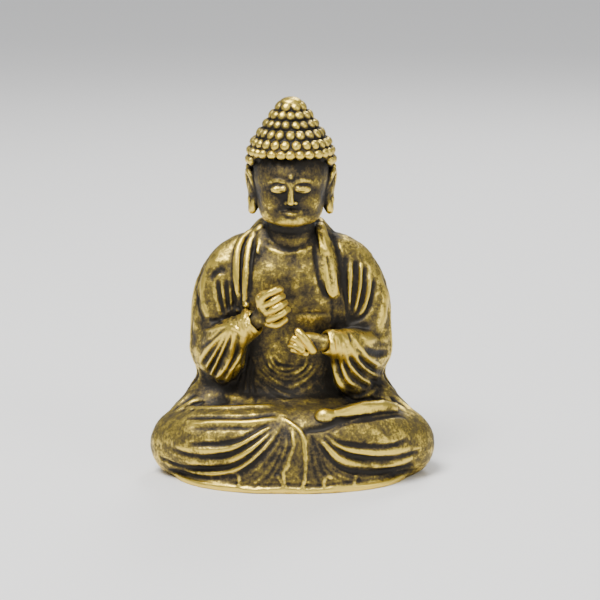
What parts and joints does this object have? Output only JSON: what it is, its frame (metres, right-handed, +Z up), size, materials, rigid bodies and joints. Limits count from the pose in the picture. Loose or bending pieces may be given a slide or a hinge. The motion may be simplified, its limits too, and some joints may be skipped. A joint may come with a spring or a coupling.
{
  "type": "buddha statue",
  "caption": "Pocket-size seated Buddha in antiqued brass, legs crossed and hands held before the chest, on a flat closed base.",
  "frame": {"origin": "centre of the flat underside, under the middle of the figure", "axes": "+Z up, from the underside to the crown; the figure faces -Y; its right hand is on the -X side"},
  "size_m": [0.0304, 0.0196, 0.0397],
  "materials": {
    "antique_brass": "antiqued cast brass: near-black brown patina in the recesses, rubbed to pale brass on the ridges",
    "plate_brass": "filed sheet brass, dull and darkened"
  },
  "bodies": {
    "root": {"lap_casting": "antique_brass", "base_plate": "plate_brass", "body_casting": "antique_brass", "robe_edge_band": "antique_brass", "right_sleeve": "antique_brass", "left_sleeve": "antique_brass", "right_hand": "antique_brass", "left_hand": "antique_brass", "right_foot": "antique_brass", "head_casting": "antique_brass", "hair_cap": "antique_brass", "crown_jewel": "antique_brass"}
  },
  "joints": []
}
